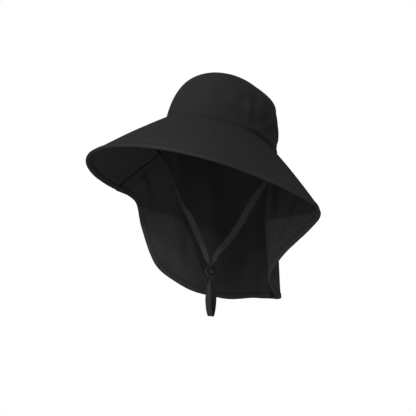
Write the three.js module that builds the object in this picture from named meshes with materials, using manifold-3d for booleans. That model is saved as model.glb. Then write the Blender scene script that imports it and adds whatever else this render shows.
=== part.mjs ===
// A sun hat with a wide brim, a cape of cloth over the neck and a chin strap, in millimetres.
// +Z is up, the hat's front looks along -Y and the wearer's left is +X.
// The origin is the middle of the head opening, where the crown meets the brim. The hat is worn:
// its front is tipped up and its left side a little down, while cape and strap hang straight down.

import * as THREE from "three";
import { mergeVertices } from "three/addons/utils/BufferGeometryUtils.js";
import Module from "manifold-3d";

const { Manifold, Mesh } = await manifoldKit();

const HEAD_WIDTH = 152; // the head opening, side to side
const HEAD_LENGTH = 203; // and front to back: a head of 56 cm round
const PITCH = 18.4; // degrees that the front is tipped up
const ROLL = 4.9; // degrees that the left side is tipped down
const GAP = 0.3; // air left between two pieces that are sewn or slide together

const CROWN_HEIGHT = 99;
const BAND_HEIGHT = 25; // the lower strip of the crown
const BAND_TUCK = 2; // the band reaches this far below the brim's seam
const CROWN_CLOTH = 1.6;
const CROWN_SQUARE = 2.75; // 2 is a round dome, more is boxier
const GATHERS = 16; // folds of the gathered cloth in the crown's back half and sides
const GATHER_DEPTH = 1.1;
const DENT_DEPTH = 3.2; // the deepest soft dent of the crown

const BRIM_WIDTH = 123; // on the average
const BRIM_FRONT = 4.2; // wider at the front
const BRIM_SIDES = 1.8; // and wider at the sides
const BRIM_CLOTH = 2;
const BRIM_SLOPE = 38.7; // degrees below the plane of the head opening, on the average
const BRIM_SLOPE_FRONT = 4.1; // more at the front
const BRIM_SLOPE_SIDES = 1.9; // and more at the sides
const BRIM_BOW = 3; // the slope grows by this from the crown to the edge
const BRIM_END = 92.5; // the brim runs this many degrees from the front to each side

const CAPE_CLOTH = 1.2;
const CAPE_SPREAD = 175; // half of the width of the cape where it leaves the brim
const CAPE_DEPTH = 135; // how far its lowest edge stands behind the head opening's middle
const CAPE_DROP = 242; // how far its lowest edge hangs below it
const CAPE_FOLD = 13; // how far its deepest fold stands out halfway down
const CAPE_RIPPLE = 2.6; // how far the waves of its lower edge go to each side
const CAPE_SEAM = 0.2; // share of the cape's upper edge that is sewn to one end of the brim

const BINDING_DEPTH = 7.5; // the folded strip round the edges reaches this far in
const BINDING_CLOTH = 0.8;

const STRAP_WIDTH = 10;
const STRAP_CLOTH = 1.5;
const STRAP_SQUEEZED = 5; // its width where the stopper holds it
const STRAP_AT = 0.25; // the strap is sewn under the brim's end, this share of its width out
const TAIL_DROP = 254; // where the loop below the stopper ends
const TAIL_SPREAD = 13; // how far the two runs of that loop stand apart

const STOPPER_AT = [-7, -16, -188.8];
const STOPPER_TURN = 33; // degrees from the front to which its button looks
const STOPPER_ROUND = 16.5;
const STOPPER_LENGTH = 16.4;
const BUTTON_ROUND = 8.8;
const BUTTON_TRAVEL = 3;
const BUTTON_SHOWS = 3.8;

const rad = THREE.MathUtils.degToRad;
const { smoothstep, lerp } = THREE.MathUtils;
const vec = (x, y, z) => new THREE.Vector3(x, y, z);
const worn = new THREE.Matrix4()
  .makeRotationY(rad(ROLL))
  .multiply(new THREE.Matrix4().makeRotationX(rad(-PITCH)));

// The value of one named column of a table at a place between its rows, without corners.
function read(table, place, column) {
  const last = table.length - 1;
  let i = table.findIndex((row) => row.at > place) - 1;
  if (i < 0) i = place <= table[0].at ? 0 : last - 1;
  const slope = (k) => {
    const a = table[Math.max(k - 1, 0)];
    const b = table[Math.min(k + 1, last)];
    return (b[column] - a[column]) / (b.at - a.at);
  };
  const span = table[i + 1].at - table[i].at;
  const t = THREE.MathUtils.clamp((place - table[i].at) / span, 0, 1);
  return (
    (2 * t ** 3 - 3 * t ** 2 + 1) * table[i][column] +
    (t ** 3 - 2 * t ** 2 + t) * span * slope(i) +
    (3 * t ** 2 - 2 * t ** 3) * table[i + 1][column] +
    (t ** 3 - t ** 2) * span * slope(i + 1)
  );
}

// The middle of a sheet of cloth as a grid; point gets the shares across and down, 0 to 1.
function sheet(columns, rows, point) {
  const position = [];
  for (let j = 0; j <= rows; j++)
    for (let i = 0; i <= columns; i++) position.push(...point(i / columns, j / rows));
  const index = [];
  for (let j = 0; j < rows; j++)
    for (let i = 0; i < columns; i++) {
      const a = j * (columns + 1) + i;
      const c = a + columns + 1;
      index.push(a, c, a + 1, a + 1, c, c + 1);
    }
  const flat = new THREE.BufferGeometry();
  flat.setAttribute("position", new THREE.Float32BufferAttribute(position, 3));
  flat.setIndex(index);
  flat.computeVertexNormals();
  return flat;
}

// Points that meet become one, and triangles that shrank to a line go.
function joined(geometry) {
  geometry.deleteAttribute("normal");
  const merged = mergeVertices(geometry, 1e-3);
  const kept = [];
  const index = merged.index.array;
  for (let i = 0; i < index.length; i += 3) {
    const [a, b, c] = index.slice(i, i + 3);
    if (a !== b && b !== c && c !== a) kept.push(a, b, c);
  }
  merged.setIndex(kept);
  merged.computeVertexNormals();
  return merged;
}

// A sheet made into cloth: a face on each side of its middle and a strip round its edge.
function thicken(middle, thickness) {
  const count = middle.attributes.position.count;
  const position = [];
  for (const side of [1, -1])
    for (let i = 0; i < count; i++) {
      const p = vec().fromBufferAttribute(middle.attributes.position, i);
      const n = vec().fromBufferAttribute(middle.attributes.normal, i);
      position.push(...p.addScaledVector(n, (side * thickness) / 2));
    }
  const index = [];
  const used = new Set();
  const faces = middle.index.array;
  for (let i = 0; i < faces.length; i += 3)
    for (let k = 0; k < 3; k++) used.add(`${faces[i + k]} ${faces[i + ((k + 1) % 3)]}`);
  for (let i = 0; i < faces.length; i += 3) {
    const [a, b, c] = faces.slice(i, i + 3);
    index.push(a, b, c, c + count, b + count, a + count);
    for (const [p, q] of [[a, b], [b, c], [c, a]])
      if (!used.has(`${q} ${p}`)) index.push(q, p, p + count, q, p + count, q + count);
  }
  const cloth = new THREE.BufferGeometry();
  cloth.setAttribute("position", new THREE.Float32BufferAttribute(position, 3));
  cloth.setIndex(index);
  return cloth;
}

// A body from sections that follow each other; their outline runs counterclockwise.
function skin(sections, outline) {
  const size = sections[0].length;
  const position = sections.flat().flatMap((p) => [...p]);
  const index = [];
  for (let s = 0; s + 1 < sections.length; s++)
    for (let i = 0; i < size; i++) {
      const a = s * size + i;
      const b = s * size + ((i + 1) % size);
      index.push(a, b, a + size, b, b + size, a + size);
    }
  const end = (sections.length - 1) * size;
  for (const [a, b, c] of THREE.ShapeUtils.triangulateShape(outline, []))
    index.push(c, b, a, a + end, b + end, c + end);
  const body = new THREE.BufferGeometry();
  body.setAttribute("position", new THREE.Float32BufferAttribute(position, 3));
  body.setIndex(index);
  return body;
}

// Places the last row of a sheet but one where the folded strip over its edge ends.
function bordered(rows, inset, point) {
  return (across, down) => {
    const row = (down * rows) / (rows - 1);
    return point(across, row > 1.001 ? 1 : row * (1 - inset(across)));
  };
}

// The folded strip over the last row of a sheet. It follows the two last rows with its gap.
function binding(middle, columns, rows, covered) {
  const hole = covered / 2 + GAP;
  const half = hole + BINDING_CLOTH;
  const nose = half - GAP - BINDING_CLOTH;
  const outline = [];
  for (let i = 0; i <= 3; i++) {
    const turn = rad(90 + 60 * i);
    outline.push([nose + half * Math.cos(turn), half * Math.sin(turn)]);
  }
  const { position, normal } = middle.attributes;
  const take = (from, row, i) => vec().fromBufferAttribute(from, row * (columns + 1) + i);
  const sections = [];
  for (let i = 0; i <= columns; i++) {
    const edge = take(position, rows, i);
    const inner = take(position, rows - 1, i);
    const upEdge = take(normal, rows, i);
    const upInner = take(normal, rows - 1, i);
    const before = take(position, rows, Math.max(i - 1, 0));
    const along = take(position, rows, Math.min(i + 1, columns)).sub(before).normalize();
    const out = edge.clone().sub(inner);
    out.addScaledVector(along, -out.dot(along)).normalize();
    const at = (start, up, outside, high) =>
      start.clone().addScaledVector(out, outside).addScaledVector(up, high);
    sections.push([
      ...outline.map(([inside, high]) => at(edge, upEdge, -inside, high)),
      at(inner, upInner, 0, -half),
      at(inner, upInner, 0, -hole),
      at(edge, upEdge, GAP, -hole),
      at(edge, upEdge, GAP, hole),
      at(inner, upInner, 0, hole),
      at(inner, upInner, 0, half),
    ]);
  }
  outline.push([BINDING_DEPTH, -half], [BINDING_DEPTH, -hole], [-GAP, -hole]);
  outline.push([-GAP, hole], [BINDING_DEPTH, hole], [BINDING_DEPTH, half]);
  return skin(sections, outline.map(([a, b]) => new THREE.Vector2(a, b)));
}

// Turned so that its faces look out: some of the grids above run the other way round.
function outward(geometry) {
  const p = geometry.attributes.position;
  const index = geometry.index.array;
  const [a, b, c] = [vec(), vec(), vec()];
  let volume = 0;
  for (let i = 0; i < index.length; i += 3) {
    a.fromBufferAttribute(p, index[i]);
    b.fromBufferAttribute(p, index[i + 1]);
    c.fromBufferAttribute(p, index[i + 2]);
    volume += a.dot(b.cross(c));
  }
  if (volume < 0) geometry.setIndex([...index].reverse());
  return geometry;
}

// The crown. Angles run from the front to the wearer's left; height is a share of the crown's.
// Soft dents of the crown: where, how deep as a share of the deepest, and how wide they are.
const DENTS = [
  { angle: -8, height: 0.86, deep: 1, wide: 11, tall: 0.2, slant: 90 },
  { angle: 30, height: 0.62, deep: 0.7, wide: 9, tall: 0.3, slant: 40 },
  { angle: 78, height: 0.62, deep: 1, wide: 8, tall: 0.35, slant: -20 },
  { angle: 96, height: 0.3, deep: 0.8, wide: 10, tall: 0.24, slant: 10 },
  { angle: -60, height: 0.55, deep: 0.55, wide: 14, tall: 0.3, slant: 30 },
  { angle: 160, height: 0.6, deep: 0.95, wide: 14, tall: 0.3, slant: 20 },
  { angle: -140, height: 0.55, deep: 0.95, wide: 13, tall: 0.3, slant: -25 },
];

function crownPoint(angle, height) {
  const up = Math.max(height, 0);
  const taper = Math.sqrt(Math.max(1 - up ** CROWN_SQUARE, 0));
  const side = Math.abs(angle);
  const gathered = smoothstep(side, 62, 95) * (1 - smoothstep(up, 0.35, 0.95));
  let push = GATHER_DEPTH * gathered * Math.cos((rad(side) - Math.PI) * 2 * GATHERS);
  for (const { angle: at, height: high, deep, wide, tall, slant } of DENTS) {
    const off = (((angle - at + 540) % 360) - 180 - slant * (up - high)) / wide;
    push -= deep * DENT_DEPTH * Math.exp(-(off ** 2) - ((up - high) / tall) ** 2);
  }
  push *= smoothstep(up, -0.02, 0.16) * (1 - smoothstep(up, 0.9, 1));
  const x = Math.sin(rad(angle));
  const y = -Math.cos(rad(angle));
  return vec(
    x * ((HEAD_WIDTH / 2) * taper + push),
    y * ((HEAD_LENGTH / 2) * taper + push),
    CROWN_HEIGHT * height,
  ).applyMatrix4(worn);
}

const bandShare = BAND_HEIGHT / CROWN_HEIGHT;
const band = thicken(
  joined(
    sheet(64, 2, (u, v) =>
      crownPoint(360 * u - 180, lerp(-BAND_TUCK / CROWN_HEIGHT, bandShare, v)),
    ),
  ),
  CROWN_CLOTH,
);
// The rows stand closer together towards the top, where the dome turns over.
const domeStart = bandShare + GAP / CROWN_HEIGHT;
const dome = thicken(
  joined(
    sheet(64, 9, (u, v) => crownPoint(360 * u - 180, lerp(domeStart, 1, 1 - (1 - v) ** 1.8))),
  ),
  CROWN_CLOTH,
);

// The brim. Share is 0 at the crown and 1 at the edge.
function brimPoint(angle, share) {
  const lean = (BRIM_CLOTH / 2) * Math.sin(rad(BRIM_SLOPE)); // of its edge towards the crown
  const start = CROWN_CLOTH / 2 + lean + GAP + 0.1;
  const [a, b] = [HEAD_WIDTH / 2, HEAD_LENGTH / 2];
  const [sin, cos] = [Math.sin(rad(angle)), Math.cos(rad(angle))];
  const out = vec(sin / a, -cos / b, 0).normalize();
  const wide = BRIM_WIDTH + BRIM_FRONT * cos - BRIM_SIDES * Math.cos(rad(2 * angle));
  const slope =
    BRIM_SLOPE + BRIM_SLOPE_FRONT * cos - BRIM_SLOPE_SIDES * Math.cos(rad(2 * angle));
  const down = rad(slope + BRIM_BOW * (share - 0.5));
  return vec(a * sin, -b * cos, 0)
    .addScaledVector(out, start + wide * share * Math.cos(down))
    .add(vec(0, 0, -wide * share * Math.sin(down)))
    .applyMatrix4(worn);
}
const brimSheet = sheet(
  60,
  5,
  bordered(
    5,
    () => BINDING_DEPTH / BRIM_WIDTH,
    (across, share) => brimPoint(lerp(-BRIM_END, BRIM_END, across), share),
  ),
);
const brim = thicken(brimSheet, BRIM_CLOTH);
const brimBinding = binding(brimSheet, 60, 5, BRIM_CLOTH);

// The cape. Across runs from the wearer's right brim end round the back to the left one.
// Its lower edge: shares of the cape's spread to the left, of its depth and of its drop.
const HEM = [
  { at: 0, left: -1.007, back: -0.121, down: 0.303 },
  { at: 0.02, left: -0.914, back: -0.06, down: 0.318 },
  { at: 0.04, left: -0.855, back: 0, down: 0.37 },
  { at: 0.08, left: -0.836, back: 0.06, down: 0.517 },
  { at: 0.145, left: -0.765, back: 0.205, down: 0.76 },
  { at: 0.2, left: -0.674, back: 0.415, down: 0.873 },
  { at: 0.28, left: -0.526, back: 0.655, down: 0.96 },
  { at: 0.38, left: -0.314, back: 0.885, down: 1.005 },
  { at: 0.5, left: -0.069, back: 0.985, down: 0.995 },
  { at: 0.62, left: 0.17, back: 0.835, down: 0.985 },
  { at: 0.72, left: 0.336, back: 0.585, down: 0.965 },
  { at: 0.8, left: 0.429, back: 0.225, down: 0.925 },
  { at: 0.833, left: 0.432, back: 0.06, down: 0.835 },
  { at: 0.857, left: 0.474, back: 0.005, down: 0.773 },
  { at: 0.9, left: 0.6, back: -0.03, down: 0.665 },
  { at: 0.955, left: 0.805, back: -0.075, down: 0.542 },
  { at: 1, left: 0.92, back: -0.12, down: 0.437 },
];
// Soft folds of the cape: where across, how wide, and their push as shares of the deepest one's.
const FOLDS = [
  { across: 0.8, wide: 0.045, left: -0.7, back: -1 },
  { across: 0.5, wide: 0.09, left: 0, back: 0.7 },
  { across: 0.34, wide: 0.04, left: 0.3, back: -0.45 },
  { across: 0.16, wide: 0.035, left: 0.25, back: 0.55 },
  { across: 0.23, wide: 0.03, left: -0.4, back: -0.45 },
];

function capeTop(across) {
  const left = across > 0.5 ? 1 : -1;
  const fromEnd = Math.min(across, 1 - across);
  if (fromEnd > CAPE_SEAM) {
    const turn = lerp(BRIM_END, 180, (fromEnd - CAPE_SEAM) / (0.5 - CAPE_SEAM));
    const room = (CROWN_CLOTH + CAPE_CLOTH) / 2 + GAP;
    const out = vec(Math.sin(rad(turn)) * left, -Math.cos(rad(turn)), 0);
    const ring = vec((out.x * HEAD_WIDTH) / 2, (out.y * HEAD_LENGTH) / 2, 1);
    return ring.addScaledVector(out, room + 0.4).applyMatrix4(worn);
  }
  // Behind the brim's end, with more room where the two bindings stand side by side.
  const share = 1 - fromEnd / CAPE_SEAM;
  const thick = lerp(CAPE_CLOTH, CAPE_CLOTH + 2 * (GAP + BINDING_CLOTH), smoothstep(share, 0.8, 1));
  const end = brimPoint(left * BRIM_END, share);
  const beside = brimPoint(left * (BRIM_END - 1), share);
  return end.addScaledVector(end.clone().sub(beside).normalize(), thick / 2 + GAP);
}

function capePoint(across, down) {
  const top = capeTop(across);
  const low = vec(
    CAPE_SPREAD * read(HEM, across, "left"),
    CAPE_DEPTH * read(HEM, across, "back"),
    -CAPE_DROP * read(HEM, across, "down"),
  );
  const ripple = CAPE_RIPPLE * down ** 1.5 * Math.sin(across * 2 * Math.PI * 7);
  const middle = Math.sin(Math.PI * down) * smoothstep(Math.min(across, 1 - across), 0, 0.1);
  const p = top.lerp(low, down);
  const rear = smoothstep(Math.min(across, 1 - across), 0.2, 0.3);
  p.y += ripple * rear;
  for (const { across: at, wide, left, back } of FOLDS) {
    const near = CAPE_FOLD * Math.exp(-(((across - at) / wide) ** 2)) * middle;
    p.x += left * near;
    p.y += back * near;
  }
  return p;
}
// The strip's depth as a share of the way down, also where the cloth meets its edge aslant.
function capeInset(across) {
  const low = capePoint(across, 1);
  const way = low.clone().sub(capePoint(across, 0.9));
  const along = capePoint(Math.min(across + 0.01, 1), 1);
  along.sub(capePoint(Math.max(across - 0.01, 0), 1)).normalize();
  const square = way.clone().addScaledVector(along, -way.dot(along));
  return Math.min(BINDING_DEPTH / (square.length() * 10), 0.5);
}
const capeSheet = sheet(60, 12, bordered(12, capeInset, capePoint));
const cape = thicken(capeSheet, CAPE_CLOTH);
const capeBinding = binding(capeSheet, 60, 12, CAPE_CLOTH);

// The chin strap: one flat tape, sewn in at both ends, with both runs through the stopper.
// Left, front and down are millimetres from the origin; face is the way of the tape's width,
// in degrees from +X round to +Y, and wide is its width.
const stopperAcross = vec(Math.cos(rad(STOPPER_TURN)), Math.sin(rad(STOPPER_TURN)), 0);
const stopperAxis = vec(stopperAcross.y, -stopperAcross.x, 0);
function strapStations() {
  const run = STRAP_CLOTH / 2 + GAP / 2;
  const [x, y, z] = STOPPER_AT;
  const half = STOPPER_ROUND / 2;
  const sewn = (side, away) => {
    const turn = side * (BRIM_END - 5);
    const p = brimPoint(turn, STRAP_AT);
    const along = brimPoint(turn + 1, STRAP_AT).sub(p);
    const up = brimPoint(turn, STRAP_AT + 0.02).sub(p).cross(along).normalize();
    return p.addScaledVector(up, -(BRIM_CLOTH / 2 + GAP + away));
  };
  const through = (side, up) => vec(x, y, z + up).addScaledVector(stopperAcross, side * run);
  const tailFace = STOPPER_TURN - 90 + 50;
  const aside = vec(Math.sin(rad(tailFace)), -Math.cos(rad(tailFace)), 0);
  const tail = (side, share, apart) =>
    vec(x - 3 * share, y, lerp(z, -TAIL_DROP, share)).addScaledVector(aside, -side * apart);
  const inside = STOPPER_TURN - 90;
  const path = [];
  const add = (p, face, wide) => path.push({ p, face, wide });
  const at = (left, back, down, face) => add(vec(left, back, down), face, STRAP_WIDTH);
  for (const away of [0.1, 8]) add(sewn(-1, away), 75, STRAP_WIDTH);
  at(-92.5, -1.5, -33, 78);
  at(-79.3, -4, -56, 80);
  at(-64.4, -6.5, -86.7, 75);
  at(-46.5, -9, -111.4, 45);
  at(-30.5, -12, -138, 12);
  at(-20.5, -13.5, -157, -10);
  add(vec(-12.6, -15.5, -172), -32, 7.4);
  for (const up of [half + 1.5, 0, -half - 1.5]) add(through(-1, up), inside, STRAP_SQUEEZED);
  const loop = TAIL_SPREAD / 2;
  add(tail(-1, 0.32, loop * 0.72), lerp(inside, tailFace, 0.8), 8);
  add(tail(-1, 0.62, loop), tailFace, STRAP_WIDTH);
  add(tail(-1, 0.9, loop * 0.55), tailFace, STRAP_WIDTH);
  add(tail(0, 1, 0), tailFace, STRAP_WIDTH);
  add(tail(1, 0.9, loop * 0.55), tailFace, STRAP_WIDTH);
  add(tail(1, 0.62, loop), tailFace, STRAP_WIDTH);
  add(tail(1, 0.32, loop * 0.72), lerp(inside, tailFace, 0.8), 8);
  for (const up of [-half - 1.5, 0, half + 1.5]) add(through(1, up), inside, STRAP_SQUEEZED);
  add(vec(-1.8, -15, -170.5), -32, 7.4);
  at(4.5, -14.5, -160, -12);
  at(17.2, -13, -147.2, 5);
  at(34, -11, -125.2, 12);
  at(49.3, -11, -101.5, 25);
  at(64, -12, -80, 45);
  at(79.5, -10, -58, 60);
  for (const away of [10, 0.1]) add(sewn(1, away), 75, STRAP_WIDTH);
  return path;
}

function strapBody() {
  const stations = strapStations();
  const last = stations.length - 1;
  const steps = last * 2;
  const curve = new THREE.CatmullRomCurve3(stations.map((s) => s.p), false, "centripetal");
  const outline = [[0.43, 0.5], [-0.43, 0.5], [-0.5, 0], [-0.43, -0.5], [0.43, -0.5], [0.5, 0]];
  const sections = [];
  for (let i = 0; i <= steps; i++) {
    const place = (i / steps) * last;
    const a = stations[Math.floor(place)];
    const b = stations[Math.min(Math.floor(place) + 1, last)];
    const share = place - Math.floor(place);
    const face = rad(lerp(a.face, b.face, share));
    const wide = lerp(a.wide, b.wide, share);
    const p = curve.getPoint(i / steps);
    const along = curve.getTangent(i / steps);
    const width = vec(Math.cos(face), Math.sin(face), 0);
    width.addScaledVector(along, -width.dot(along)).normalize();
    const thick = along.clone().cross(width);
    sections.push(
      outline.map(([w, t]) =>
        p.clone().addScaledVector(width, w * wide).addScaledVector(thick, t * STRAP_CLOTH),
      ),
    );
  }
  return skin(sections, outline.map(([w, t]) => new THREE.Vector2(w, t)));
}

// The stopper: a rounded barrel whose sprung button is pressed in to let the strap run.
// Both are turned about +Z here, front up, and then laid so that the button looks forward.
const strapStart = -2.2; // the strap's room along the barrel begins here
const strapRoom = STRAP_SQUEEZED + 2 * GAP;
const slotWide = 2 * STRAP_CLOTH + 3 * GAP;
const front = STOPPER_LENGTH / 2;
const buttonBack = strapStart - 1.2;
const boreBack = buttonBack - BUTTON_TRAVEL - GAP;
const boreRound = BUTTON_ROUND / 2 + GAP;

function turned(profile, sides) {
  const points = profile.map(([r, z]) => new THREE.Vector2(r, z));
  const lathe = new THREE.LatheGeometry(points, sides);
  lathe.rotateX(Math.PI / 2);
  return solid(lathe);
}
function block(across, tall, from, to) {
  const box = new THREE.BoxGeometry(across, tall, to - from);
  box.translate(0, 0, (from + to) / 2);
  return solid(box);
}
const stopperRadius = STOPPER_ROUND / 2;
const barrel = turned(
  [
    [0, -front],
    [0.62 * stopperRadius, -0.97 * front],
    [0.88 * stopperRadius, -0.72 * front],
    [stopperRadius, -0.28 * front],
    [stopperRadius, 0.28 * front],
    [0.93 * stopperRadius, 0.7 * front],
    [0.8 * stopperRadius, 0.96 * front],
    [0.74 * stopperRadius, front],
    [0, front],
  ],
  24,
);
const bore = turned([[0, boreBack], [boreRound, boreBack], [boreRound, front + 5], [0, front + 5]], 24);
const strapHole = block(slotWide, STOPPER_ROUND * 2, strapStart, strapStart + strapRoom);
const stopperBody = barrel.subtract(bore).subtract(strapHole);

const buttonFront = front + BUTTON_SHOWS;
const buttonRadius = BUTTON_ROUND / 2;
const plunger = turned(
  [
    [0, buttonBack],
    [buttonRadius, buttonBack],
    [buttonRadius, buttonFront - 1.1],
    [buttonRadius - 0.35, buttonFront - 0.35],
    [buttonRadius - 1.1, buttonFront],
    [buttonRadius - 1.9, buttonFront],
    [buttonRadius - 2.3, buttonFront - 0.5],
    [0, buttonFront - 0.5],
  ],
  24,
);
const buttonSlot = block(slotWide, STOPPER_ROUND * 2, strapStart, strapStart + strapRoom + BUTTON_TRAVEL);
const stopperButton = plunger.subtract(buttonSlot);

// three.js bodies to manifold-3d and back; it joins and cuts them.
async function manifoldKit() {
  const kit = await Module();
  kit.setup();
  return kit;
}
function solid(geometry) {
  const body = outward(joined(bare(geometry)));
  return new Manifold(
    new Mesh({
      numProp: 3,
      vertProperties: new Float32Array(body.attributes.position.array),
      triVerts: new Uint32Array(body.index.array),
    }),
  );
}
function bare(geometry) {
  const plain = new THREE.BufferGeometry();
  plain.setAttribute("position", geometry.attributes.position);
  plain.setIndex(geometry.index);
  return plain;
}
function drawn(body) {
  const { vertProperties, triVerts, numProp } = body.getMesh();
  const geometry = new THREE.BufferGeometry();
  const position = [];
  for (let i = 0; i < vertProperties.length; i += numProp)
    position.push(...vertProperties.slice(i, i + 3));
  geometry.setAttribute("position", new THREE.Float32BufferAttribute(position, 3));
  geometry.setIndex([...triVerts]);
  return geometry;
}
function laid(body) {
  const geometry = drawn(body);
  const basis = new THREE.Matrix4().makeBasis(stopperAcross, vec(0, 0, 1), stopperAxis);
  const middle = strapStart + strapRoom / 2;
  geometry.translate(0, 0, -middle).applyMatrix4(basis).translate(...STOPPER_AT);
  return geometry;
}

const CLOTH = { roughness: 0.92, metalness: 0 };
const pieces = [
  ["crown_dome", dome, { color: 0x2d2d2f, ...CLOTH }],
  ["crown_band", band, { color: 0x2b2b2d, ...CLOTH }],
  ["brim", brim, { color: 0x2d2d2f, ...CLOTH }],
  ["brim_binding", brimBinding, { color: 0x303032, ...CLOTH }],
  ["neck_cape", cape, { color: 0x28282a, ...CLOTH }],
  ["cape_binding", capeBinding, { color: 0x2a2a2c, ...CLOTH }],
  ["chin_strap", strapBody(), { color: 0x2c2c2e, roughness: 0.85, metalness: 0 }],
  ["stopper_body", laid(stopperBody), { color: 0x262628, roughness: 0.5, metalness: 0 }],
  ["stopper_button", laid(stopperButton), { color: 0x29292b, roughness: 0.45, metalness: 0 }],
];

const hat = new THREE.Group();
hat.name = "neck_flap_sun_hat";
for (const [name, geometry, finish] of pieces) {
  const mesh = new THREE.Mesh(outward(geometry), new THREE.MeshStandardMaterial(finish));
  mesh.geometry.computeVertexNormals();
  mesh.name = name;
  hat.add(mesh);
}
export default hat;
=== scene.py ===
# %% [markdown]
# # A cloth sun hat with a neck cape
#
# This lesson dresses the solids of a sun hat as cloth: a gathered crown on a band, a wide
# quilted brim, a cape that hangs round the neck, folded hems, a flat chin tape and a round
# stopper with a push button. The solids fix every size. Each one that is cloth is replaced by
# a finer mesh of the same form, with the seams, stitches and creases that a plain solid lacks.
#
# We start with the imported solids.

# %% The solids
import math

import bmesh
import bpy
from mathutils import Matrix, Vector, noise
from mathutils.bvhtree import BVHTree


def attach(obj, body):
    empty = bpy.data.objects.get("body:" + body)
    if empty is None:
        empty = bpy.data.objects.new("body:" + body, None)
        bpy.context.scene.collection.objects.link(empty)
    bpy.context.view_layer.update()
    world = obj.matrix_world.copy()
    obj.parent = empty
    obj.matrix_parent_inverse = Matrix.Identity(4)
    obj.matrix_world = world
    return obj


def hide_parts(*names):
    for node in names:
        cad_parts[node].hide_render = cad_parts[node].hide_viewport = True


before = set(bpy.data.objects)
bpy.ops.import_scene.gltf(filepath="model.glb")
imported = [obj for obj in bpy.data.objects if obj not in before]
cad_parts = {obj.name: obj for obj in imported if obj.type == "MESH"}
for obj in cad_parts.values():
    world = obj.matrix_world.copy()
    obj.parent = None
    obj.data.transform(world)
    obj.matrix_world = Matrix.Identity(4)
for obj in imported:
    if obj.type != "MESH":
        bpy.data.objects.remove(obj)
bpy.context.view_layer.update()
MM = 0.001

# %% [markdown]
# ## The camera
#
# The hat was photographed from its own height, 30 degrees round to its left. A long lens, 1.3 m
# away, keeps the brim from looming.

# %% The camera
EYE_TURN, EYE_LENS, EYE_WIDTH = 30, 76.5, 36
EYE_AT = (0.63397, -1.13509, -0.09655)
eye = bpy.data.cameras.new("eye")
eye.sensor_width, eye.lens = EYE_WIDTH, EYE_LENS
camera = bpy.data.objects.new("camera", eye)
camera.location = EYE_AT
camera.rotation_euler = (math.radians(90), 0, math.radians(EYE_TURN))
bpy.context.scene.collection.objects.link(camera)
bpy.context.scene.camera = camera
print("camera looks level,", EYE_TURN, "degrees round")

# %% [markdown]
# ## The hat's form
#
# The same named sizes and short tables that shape the solids, in millimetres. `worn` tips the
# head opening as the hat sits: front up, left side a little down. `read` finds a value between
# two rows of a table without a corner.

# %% Sizes and tables
HEAD_WIDTH, HEAD_LENGTH = 152, 203
PITCH, ROLL = 18.4, 4.9
GAP = 0.3
CROWN_HEIGHT, BAND_HEIGHT = 99, 25
CROWN_CLOTH, CROWN_SQUARE = 1.6, 2.75
GATHERS, GATHER_DEPTH, DENT_DEPTH = 16, 1.1, 3.2
BRIM_WIDTH, BRIM_FRONT, BRIM_SIDES = 123, 4.2, 1.8
BRIM_CLOTH, BRIM_SLOPE, BRIM_SLOPE_FRONT, BRIM_SLOPE_SIDES = 2, 38.7, 4.1, 1.9
BRIM_BOW, BRIM_END = 3, 92.5
CAPE_CLOTH, CAPE_SPREAD, CAPE_DEPTH, CAPE_DROP = 1.2, 175, 135, 242
CAPE_FOLD, CAPE_RIPPLE, CAPE_RIPPLES, CAPE_SEAM = 13, 2.6, 14, 0.2
BINDING_DEPTH, BINDING_CLOTH = 7.5, 0.8

worn = Matrix.Rotation(math.radians(ROLL), 3, "Y") @ Matrix.Rotation(-math.radians(PITCH), 3, "X")


def sin(degrees):
    return math.sin(math.radians(degrees))


def cos(degrees):
    return math.cos(math.radians(degrees))


def lerp(a, b, t):
    return a + (b - a) * t


def smooth(x, low, high):
    t = min(max((x - low) / (high - low), 0), 1)
    return t * t * (3 - 2 * t)


def read(table, place, column):
    last = len(table) - 1
    i = next((k for k, row in enumerate(table) if row[0] > place), last) - 1
    i = max(i, 0)

    def slope(k):
        a, b = table[max(k - 1, 0)], table[min(k + 1, last)]
        return (b[column] - a[column]) / (b[0] - a[0])

    span = table[i + 1][0] - table[i][0]
    t = min(max((place - table[i][0]) / span, 0), 1)
    return (
        (2 * t**3 - 3 * t**2 + 1) * table[i][column]
        + (t**3 - 2 * t**2 + t) * span * slope(i)
        + (3 * t**2 - 2 * t**3) * table[i + 1][column]
        + (t**3 - t**2) * span * slope(i + 1)
    )


# %% The brim's form
def brim_point(angle, share):
    """A point of the brim's middle; share is 0 at the crown and 1 at the edge."""
    start = CROWN_CLOTH / 2 + BRIM_CLOTH / 2 * sin(BRIM_SLOPE) + GAP + 0.1
    a, b = HEAD_WIDTH / 2, HEAD_LENGTH / 2
    out = Vector((sin(angle) / a, -cos(angle) / b, 0)).normalized()
    wide = BRIM_WIDTH + BRIM_FRONT * cos(angle) - BRIM_SIDES * cos(2 * angle)
    slope = BRIM_SLOPE + BRIM_SLOPE_FRONT * cos(angle) - BRIM_SLOPE_SIDES * cos(2 * angle)
    slope += BRIM_BOW * (share - 0.5)
    p = Vector((a * sin(angle), -b * cos(angle), -wide * share * sin(slope)))
    return worn @ (p + out * (start + wide * share * cos(slope)))


# %% [markdown]
# ## A tool for everything that is a strip or a tube
#
# A strap, a hem and a sheet are all a grid of faces that has been laid somewhere. Blender's
# grid operator makes the faces and a flat UV map. We then carry every vertex to its place, weld
# the edges that meet, and cap open ends. It keeps the faces even, which a sculpted or
# remeshed strip wouldn't. The UV map is kept in metres, so that a weave has its real size.

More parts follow.
